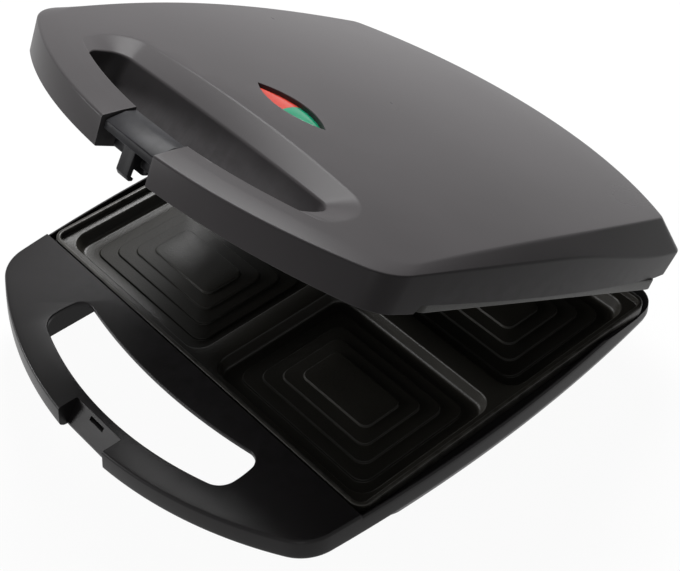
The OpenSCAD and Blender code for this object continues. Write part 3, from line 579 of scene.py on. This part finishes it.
def soft_rings(steps, radius, count=3):
    rings = [level(rounded(w, d, r), z) for w, d, r, z in steps]
    return soften(rings, {k: radius for k in range(1, len(rings) - 1)}, count)


def field_cutter(x, y):
    w, d, low = FIELD_W, FIELD_D, -FIELD_DEPTH
    steps = [(w - 90, d - 90, 2, low + 5.2)]
    for i in (4, 3, 2, 1):
        sw, sd, r = w - 17 * i - 4, d - 17 * i - 4, 9 - i
        steps += [(sw - 0.3, sd - 0.3, r, low + 1.3 * i), (sw + 0.3, sd + 0.3, r, low + 1.3 * (i - 1))]
    k = 2.6 / (FIELD_DEPTH - DIVIDER_DROP)
    steps += [(w - 5.2, d - 5.2, 9, low), (w, d, 11, -DIVIDER_DROP), (w + 3.0, d + 3.0, 12, -DIVIDER_DROP + 0.02)]
    rings = [level(rounded(a, b, r), z) for a, b, r, z in steps]
    soft = {j: 0.5 for j in range(1, 9)} | {9: 2.2, 10: 1.3}
    rings.append(level(rounded(w + 2 * k + 3, d + 2 * k + 3, 12), 3))
    cutter = loft("cut", soften(rings, soft, 4))
    cutter.data.transform(Matrix.Translation((x * MM, y * MM, 0)))
    return cutter


def cast_plate(name, place):
    body = loft(name, soft_rings([
        (PLATE_W - 20, PLATE_D - 20, 3, -16), (PLATE_W - 12, PLATE_D - 12, 6, -16),
        (PLATE_W - 12, PLATE_D - 12, 6, -6.5), (PLATE_W, PLATE_D, 8, -6.5), (PLATE_W, PLATE_D, 8, 0),
        (PLATE_W - 2 * RIM_T, PLATE_D - 2 * RIM_T, 5.4, 0),
        (PLATE_W - 2 * RIM_T, PLATE_D - 2 * RIM_T, 5.4, -DIVIDER_DROP),
        (PLATE_W - 90, PLATE_D - 90, 5, -DIVIDER_DROP)], 0.7))
    combine(body, [rod("post", (x, y, -28), (x, y, -14), 4.5) for x, y in POSTS], "UNION")
    for sx in (-1, 1):
        for sy in (-1, 1):
            combine(body, [field_cutter(sx * (FIELD_W + DIVIDER_W) / 2, sy * (FIELD_D + DIVIDER_W) / 2)])
    for x, y in POSTS:
        combine(body, [rod("cut", (x, y, -29), (x, y, -18), 2.05)])
    body.data.transform(place)
    return smooth_by_angle(body, 40)


lower_plate = cast_plate("lower_plate", IN_BASE)
upper_plate = cast_plate("upper_plate", IN_LID @ Matrix.Translation((0, 0, 0.6 * MM)) @ Matrix.Rotation(math.pi, 4, "Y"))
print("plate faces:", len(lower_plate.data.polygons))

# %% [markdown]
# The catch is one moulding with a sloping cover, two finger blocks, a tongue that hangs down for
# the thumb, and a hook that reaches down to the slot in the base. Each profile is drawn side on,
# given soft edges and joined to the rest, and the pin's bore is cut last.

# %% Latch
def slice_x(name, x0, x1, points, r=0.45):
    piece = prism(name, [(LID_FRONT + a, b) for a, b in points], x0, x1, "x")
    return eased(piece, r) if r else piece


latch = slice_x("latch", -19.4, 19.4, [(3.4, 12.3), (3.0, 16.8), (13.4, 22.0), (20.5, 22.9), (20.8, 20.7),
                                       (15.6, 19.4), (10.4, 17.0), (6.8, 14.4), (6.2, 12.3)], 0.5)
more = [rod("boss", (s * 14.3 - 5.3, PIN_Y, PIN_Z), (s * 14.3 + 5.3, PIN_Y, PIN_Z), 3.1) for s in (-1, 1)]
more += [slice_x("finger", s * 11 - 6, s * 11 + 6,
                 [(11.2, 4), (10.6, 6), (11.2, 15), (13, 16.5), (17, 16), (16, 6), (15, 4)], 0.7) for s in (-1, 1)]
more.append(slice_x("hook", -4.5, 4.5, [(5.6, 13), (9.6, 16), (13, 19), (17.6, 18), (17.6, 12.6), (12, 10),
                                        (8.4, 2), (8.4, -2.3), (10.4, -2.4), (9.9, -3.9), (7.6, -4), (5.6, -1.5)], 0.35))
tongue = loft("tongue", [level(rounded(21, 12.9, 4), 0), level(rounded(21, 12.9, 4), 2.4)])
tongue.data.transform(Matrix.Translation((0, (LID_FRONT + 13.8) * MM, 7.35 * MM)) @ Matrix.Rotation(math.pi / 2, 4, "X"))
more.append(eased(tongue, 0.4, 2))
combine(latch, more, "UNION")
combine(latch, [rod("cut", (-25, PIN_Y, PIN_Z), (25, PIN_Y, PIN_Z), 1.56),
                rod("cut", (4.6, PIN_Y, PIN_Z), (7.8, PIN_Y, PIN_Z), 2.6)])
latch.data.transform(IN_LID)
smooth_by_angle(latch, 28)

# %% [markdown]
# The window is two glossy halves of one eye shape, red and green. Each is slightly crowned, and its
# edge lies about 3 mm below the lid's top, so that the dark wall of the recess shows beside it.
# The feet are turned rubber pads with a plug that pushes into the base.

# %% Window halves and feet
def window_half(name, s):
    rings = [(-0.6, -4.4), (-0.15, -4.1), (-0.15, -3.3), (-0.4, -2.8), (-1.1, -2.3), (-2.2, -1.85),
             (-3.6, -1.5), (-5.4, -1.25), (-7.4, -1.15)]
    piece = eye_cutter(name, rings)
    keep = (0.05, 40) if s > 0 else (-40, -0.05)
    side = block("side", keep[0], keep[1], -20, 20, -20, 20)
    side.data.transform(AT_EYE)
    combine(piece, [side], "INTERSECT")
    piece.data.transform(IN_LID)
    return smooth_by_angle(piece, 40)


red_lens, green_lens = window_half("red_lens", -1), window_half("green_lens", 1)


def turned(name, profile, sides=64):
    t = np.linspace(0, 2 * math.pi, sides, endpoint=False)
    return loft(name, [np.column_stack([r * np.cos(t), r * np.sin(t), np.full(sides, z)]) for r, z in profile])


feet = []
for x, y in FEET:
    foot = turned("rubber_feet", [(7.0, 0), (7.5, 0), (7.9, 0.25), (8.0, 0.6), (8.9, 5.3), (8.85, 5.8), (8.6, 6.0),
                                  (7.1, 6.0), (6.98, 6.1), (6.98, 7.3), (6.8, 7.5)])
    foot.data.transform(Matrix.Translation((x * MM, y * MM, (BOTTOM - 6) * MM)))
    feet.append(foot)
rubber_feet = feet[0]
joined = bmesh.new()
for foot in feet:
    joined.from_mesh(foot.data)
for foot in feet[1:]:
    bpy.data.objects.remove(foot)
joined.to_mesh(rubber_feet.data)
joined.free()
rubber_feet.data.transform(IN_BASE)
smooth_by_angle(rubber_feet, 40)
print("latch faces:", len(latch.data.polygons), "feet faces:", len(rubber_feet.data.polygons))

# %% [markdown]
# A finish is never one flat colour. The mouldings carry a fine spark-eroded grain, the plates a
# speckled coating and the steel parts drawing marks. Effects that several finishes share are node
# groups, built once here and placed in each material with its own values.

# %% Shared effects
def new_group(name, inputs, outputs):
    tree = bpy.data.node_groups.new(name, "ShaderNodeTree")
    for label, value in inputs.items():
        socket = tree.interface.new_socket(label, in_out="INPUT", socket_type="NodeSocketFloat")
        socket.default_value = value
    for label, kind in outputs.items():
        tree.interface.new_socket(label, in_out="OUTPUT", socket_type=kind)
    return tree, tree.nodes.new("NodeGroupInput"), tree.nodes.new("NodeGroupOutput")


def noise_at(tree, scale_from, detail=3.0, stretch=None):
    place = tree.nodes.new("ShaderNodeTexCoord").outputs["Object"]
    if stretch:
        mapping = tree.nodes.new("ShaderNodeMapping")
        mapping.inputs["Scale"].default_value = stretch
        tree.links.new(place, mapping.inputs["Vector"])
        place = mapping.outputs["Vector"]
    noise = tree.nodes.new("ShaderNodeTexNoise")
    noise.inputs["Detail"].default_value = detail
    tree.links.new(place, noise.inputs["Vector"])
    tree.links.new(scale_from, noise.inputs["Scale"])
    return noise.outputs["Fac"]


def bump_from(tree, height, depth_from):
    bump = tree.nodes.new("ShaderNodeBump")
    tree.links.new(height, bump.inputs["Height"])
    tree.links.new(depth_from, bump.inputs["Distance"])
    return bump.outputs["Normal"]


def contrast(tree, value, low, high):
    ramp = tree.nodes.new("ShaderNodeMapRange")
    ramp.inputs["From Min"].default_value = low
    ramp.inputs["From Max"].default_value = high
    tree.links.new(value, ramp.inputs["Value"])
    return ramp.outputs["Result"]


def make_grain():
    tree, inputs, outputs = new_group("surface_grain", {"Scale": 1500.0, "Depth": 0.00004},
                                      {"Normal": "NodeSocketVector", "Grain": "NodeSocketFloat"})
    grain = noise_at(tree, inputs.outputs["Scale"], 4.0)
    tree.links.new(bump_from(tree, grain, inputs.outputs["Depth"]), outputs.inputs["Normal"])
    tree.links.new(contrast(tree, grain, 0.35, 0.65), outputs.inputs["Grain"])
    return tree


def make_cloud():
    tree, inputs, outputs = new_group("slow_cloud", {"Scale": 14.0}, {"Cloud": "NodeSocketFloat"})
    cloud = noise_at(tree, inputs.outputs["Scale"], 5.0)
    tree.links.new(contrast(tree, cloud, 0.3, 0.7), outputs.inputs["Cloud"])
    return tree


# Edge mask from pointiness, broken up by noise. The lighter edges it gives are partly rubbed wear and partly a painted
# highlight on the small rounded rims.
def make_edge():
    tree, inputs, outputs = new_group("wear_and_highlight_edge", {"Scale": 90.0}, {"Edge": "NodeSocketFloat"})
    sharp = contrast(tree, tree.nodes.new("ShaderNodeNewGeometry").outputs["Pointiness"], 0.515, 0.58)
    broken = contrast(tree, noise_at(tree, inputs.outputs["Scale"], 4.0), 0.3, 0.6)
    both = tree.nodes.new("ShaderNodeMath")
    both.operation = "MULTIPLY"
    tree.links.new(sharp, both.inputs[0])
    tree.links.new(broken, both.inputs[1])
    tree.links.new(both.outputs[0], outputs.inputs["Edge"])
    return tree


def make_drawn():
    tree, inputs, outputs = new_group("drawing_marks", {"Scale": 900.0, "Depth": 0.00001},
                                      {"Normal": "NodeSocketVector", "Marks": "NodeSocketFloat"})
    marks = noise_at(tree, inputs.outputs["Scale"], 3.0, (0.04, 1.0, 1.0))
    tree.links.new(bump_from(tree, marks, inputs.outputs["Depth"]), outputs.inputs["Normal"])
    tree.links.new(contrast(tree, marks, 0.3, 0.7), outputs.inputs["Marks"])
    return tree


surface_grain, slow_cloud, wear_and_highlight_edge, drawing_marks = make_grain(), make_cloud(), make_edge(), make_drawn()
print("shared effects:", [g.name for g in bpy.data.node_groups])

# %% [markdown]
# Each material mixes two or three close colours with those masks, and lets the same masks move its
# roughness a little. That keeps large plain faces alive without any picture texture.

# %% Material helpers
def start(name, metallic=0.0, specular=0.5, ior=1.5):
    made = bpy.data.materials.new(name)
    tree = node_tree(made)
    skin = tree.nodes.new("ShaderNodeBsdfPrincipled")
    skin.inputs["Metallic"].default_value = metallic
    skin.inputs["Specular IOR Level"].default_value = specular
    skin.inputs["IOR"].default_value = ior
    out = tree.nodes.new("ShaderNodeOutputMaterial")
    tree.links.new(skin.outputs[0], out.inputs["Surface"])
    return made, tree, skin


def effect(tree, group, **values):
    node = tree.nodes.new("ShaderNodeGroup")
    node.node_tree = group
    for label, value in values.items():
        node.inputs[label].default_value = value
    return node


def colour_mix(tree, mask, first, second):
    mix = tree.nodes.new("ShaderNodeMix")
    mix.data_type = "RGBA"
    tree.links.new(mask, mix.inputs[0])
    for socket, colour in ((mix.inputs[6], first), (mix.inputs[7], second)):
        if isinstance(colour, tuple):
            socket.default_value = (*colour, 1.0)
        else:
            tree.links.new(colour, socket)
    return mix.outputs[2]


def between(tree, mask, low, high):
    ramp = tree.nodes.new("ShaderNodeMapRange")
    ramp.inputs["To Min"].default_value = low
    ramp.inputs["To Max"].default_value = high
    tree.links.new(mask, ramp.inputs["Value"])
    return ramp.outputs["Result"]


def moulded(name, dark, light, edge_wear_and_highlight, rough, grain_scale, grain_depth, specular=0.5):
    made, tree, skin = start(name, 0.0, specular)
    grain = effect(tree, surface_grain, Scale=grain_scale, Depth=grain_depth)
    cloud = effect(tree, slow_cloud, Scale=13.0)
    edge = effect(tree, wear_and_highlight_edge, Scale=110.0)
    body = colour_mix(tree, cloud.outputs["Cloud"], dark, light)
    # Sharp edges take the lighter edge colour: partly rubbed wear, partly a painted highlight.
    tree.links.new(colour_mix(tree, edge.outputs["Edge"], body, edge_wear_and_highlight), skin.inputs["Base Color"])
    tree.links.new(between(tree, cloud.outputs["Cloud"], rough[0], rough[1]), skin.inputs["Roughness"])
    tree.links.new(grain.outputs["Normal"], skin.inputs["Normal"])
    return made


def metal(name, dark, light, rough, scale, depth):
    made, tree, skin = start(name, 1.0)
    marks = effect(tree, drawing_marks, Scale=scale, Depth=depth)
    cloud = effect(tree, slow_cloud, Scale=60.0)
    tree.links.new(colour_mix(tree, cloud.outputs["Cloud"], dark, light), skin.inputs["Base Color"])
    tree.links.new(between(tree, marks.outputs["Marks"], rough[0], rough[1]), skin.inputs["Roughness"])
    tree.links.new(marks.outputs["Normal"], skin.inputs["Normal"])
    return made


def coated_cast():
    made, tree, skin = start("coated_plate", 0.0, 0.2)
    grain = effect(tree, surface_grain, Scale=900.0, Depth=0.00009)
    speck = effect(tree, surface_grain, Scale=2600.0, Depth=0.00002)
    cloud = effect(tree, slow_cloud, Scale=9.0)
    edge = effect(tree, wear_and_highlight_edge, Scale=160.0)
    coat = colour_mix(tree, cloud.outputs["Cloud"], (0.013, 0.0125, 0.011), (0.022, 0.0205, 0.017))
    flecked = colour_mix(tree, between(tree, speck.outputs["Grain"], 0.0, 0.35), coat, (0.050, 0.047, 0.040))
    # The plate's sharp rims lighten to the edge colour: partly rubbed coating, partly a painted highlight.
    tree.links.new(colour_mix(tree, edge.outputs["Edge"], flecked, (0.07, 0.067, 0.061)), skin.inputs["Base Color"])
    tree.links.new(between(tree, cloud.outputs["Cloud"], 0.30, 0.40), skin.inputs["Roughness"])
    tree.links.new(grain.outputs["Normal"], skin.inputs["Normal"])
    return made


def window_plastic(name, deep, pale):
    made, tree, skin = start(name, 0.0, 0.2, 1.49)
    cloud = effect(tree, slow_cloud, Scale=120.0)
    tree.links.new(colour_mix(tree, cloud.outputs["Cloud"], deep, pale), skin.inputs["Base Color"])
    tree.links.new(between(tree, cloud.outputs["Cloud"], 0.14, 0.20), skin.inputs["Roughness"])
    skin.inputs["Transmission Weight"].default_value = 0.08
    skin.inputs["Coat Weight"].default_value = 0.1
    skin.inputs["Coat Roughness"].default_value = 0.05
    return made


def lamp_glass(name, deep, pale):
    made, tree, skin = start(name, 0.0, 0.5, 1.5)
    cloud = effect(tree, slow_cloud, Scale=300.0)
    tree.links.new(colour_mix(tree, cloud.outputs["Cloud"], deep, pale), skin.inputs["Base Color"])
    tree.links.new(between(tree, cloud.outputs["Cloud"], 0.03, 0.09), skin.inputs["Roughness"])
    skin.inputs["Transmission Weight"].default_value = 0.8
    return made


# %% [markdown]
# The two shells are moulded in the same near-black plastic with a satin grain. The lid looks dark
# grey and the base almost black, so the lid gets a lighter colour: that extra grey is painted sheen
# of the soft lights on its top. Their sheen is kept low, because at a slanting view any plastic
# throws back far more of the white room than it does face on, and a strong sheen would turn the walls pale.

# %% The finishes
finish = {
    # The lid's lighter grey over the base's near-black is painted sheen.
    "lid_moulding": moulded("lid_moulding", (0.066, 0.0618, 0.0637), (0.075, 0.0702, 0.0726), (0.100, 0.096, 0.099),
                            (0.27, 0.33), 1700.0, 0.00002, 0.04),
    "base_moulding": moulded("base_moulding", (0.011, 0.0100, 0.0105), (0.014, 0.0128, 0.0134), (0.03, 0.028, 0.030),
                             (0.28, 0.34), 1700.0, 0.00003, 0.14),
    "frame_moulding": moulded("frame_moulding", (0.018, 0.018, 0.020), (0.024, 0.024, 0.027), (0.04, 0.04, 0.043),
                              (0.40, 0.50), 1200.0, 0.00005, 0.25),
    "latch_moulding": moulded("latch_moulding", (0.018, 0.0178, 0.0195), (0.022, 0.0217, 0.024), (0.045, 0.045, 0.049),
                              (0.30, 0.38), 1700.0, 0.00002, 0.04),
    "foot_rubber": moulded("foot_rubber", (0.014, 0.014, 0.014), (0.024, 0.023, 0.022), (0.045, 0.044, 0.042),
                           (0.75, 0.88), 1100.0, 0.00006, 0.35),
    "bush_rubber": moulded("bush_rubber", (0.018, 0.018, 0.018), (0.027, 0.026, 0.026), (0.05, 0.05, 0.05),
                           (0.65, 0.78), 1300.0, 0.00004, 0.4),
    "pale_insulator": moulded("pale_insulator", (0.62, 0.60, 0.53), (0.70, 0.68, 0.61), (0.78, 0.77, 0.72),
                              (0.4, 0.5), 1500.0, 0.00003),
    "ceramic_body": moulded("ceramic_body", (0.58, 0.55, 0.46), (0.68, 0.65, 0.56), (0.78, 0.76, 0.70),
                            (0.22, 0.34), 700.0, 0.00005),
    "coated_plate": coated_cast(),
    "heater_sheath": metal("heater_sheath", (0.20, 0.205, 0.215), (0.30, 0.30, 0.305), (0.38, 0.52), 1400.0, 0.00002),
    "pressed_steel": metal("pressed_steel", (0.50, 0.51, 0.53), (0.60, 0.61, 0.62), (0.26, 0.38), 1100.0, 0.00001),
    "bright_tray": metal("bright_tray", (0.72, 0.73, 0.75), (0.80, 0.81, 0.82), (0.16, 0.28), 900.0, 0.00001),
    "zinc_screw": metal("zinc_screw", (0.50, 0.50, 0.47), (0.62, 0.61, 0.57), (0.28, 0.40), 1600.0, 0.00001),
    "pin_steel": metal("pin_steel", (0.48, 0.49, 0.51), (0.58, 0.59, 0.61), (0.18, 0.28), 1800.0, 0.00001),
    "spring_steel": metal("spring_steel", (0.44, 0.44, 0.46), (0.54, 0.54, 0.56), (0.2, 0.3), 2000.0, 0.00001),
    "red_lens": window_plastic("red_lens", (0.50, 0.040, 0.026), (0.58, 0.060, 0.038)),
    "green_lens": window_plastic("green_lens", (0.004, 0.21, 0.105), (0.008, 0.26, 0.135)),
    "red_lamp": lamp_glass("red_lamp", (0.9, 0.35, 0.22), (0.95, 0.5, 0.35)),
    "green_lamp": lamp_glass("green_lamp", (0.45, 0.85, 0.5), (0.6, 0.92, 0.62)),
}
print("finishes:", len(finish))

# %% [markdown]
# Last, every new piece takes its finish, is given to the body it rides on, and hides the solid it
# stands for. The hidden solids stay as they are and only take their finish.

# %% Hand the pieces over
finished(lid_shell, "lid", "lid_moulding", finish["lid_moulding"], "lid_shell")
finished(base_shell, "base", "base_moulding", finish["base_moulding"], "base_shell")
finished(lower_plate, "base", "coated_plate", finish["coated_plate"], "lower_plate")
finished(upper_plate, "lid", "coated_plate", finish["coated_plate"], "upper_plate")
finished(latch, "latch", "latch_moulding", finish["latch_moulding"], "latch")
finished(red_lens, "lid", "red_lens", finish["red_lens"], "red_lens")
finished(green_lens, "lid", "green_lens", finish["green_lens"], "green_lens")
finished(rubber_feet, "base", "foot_rubber", finish["foot_rubber"], "rubber_feet")
shown = [n for n, node in nodes.items() if not node.hide_render]
for name in shown:
    node = nodes[name]
    slots = [m.name.split(".")[0] for m in node.data.materials]
    for k, slot in enumerate(slots):
        node.data.materials[k] = finish[slot]
    print(name, "takes", slots)
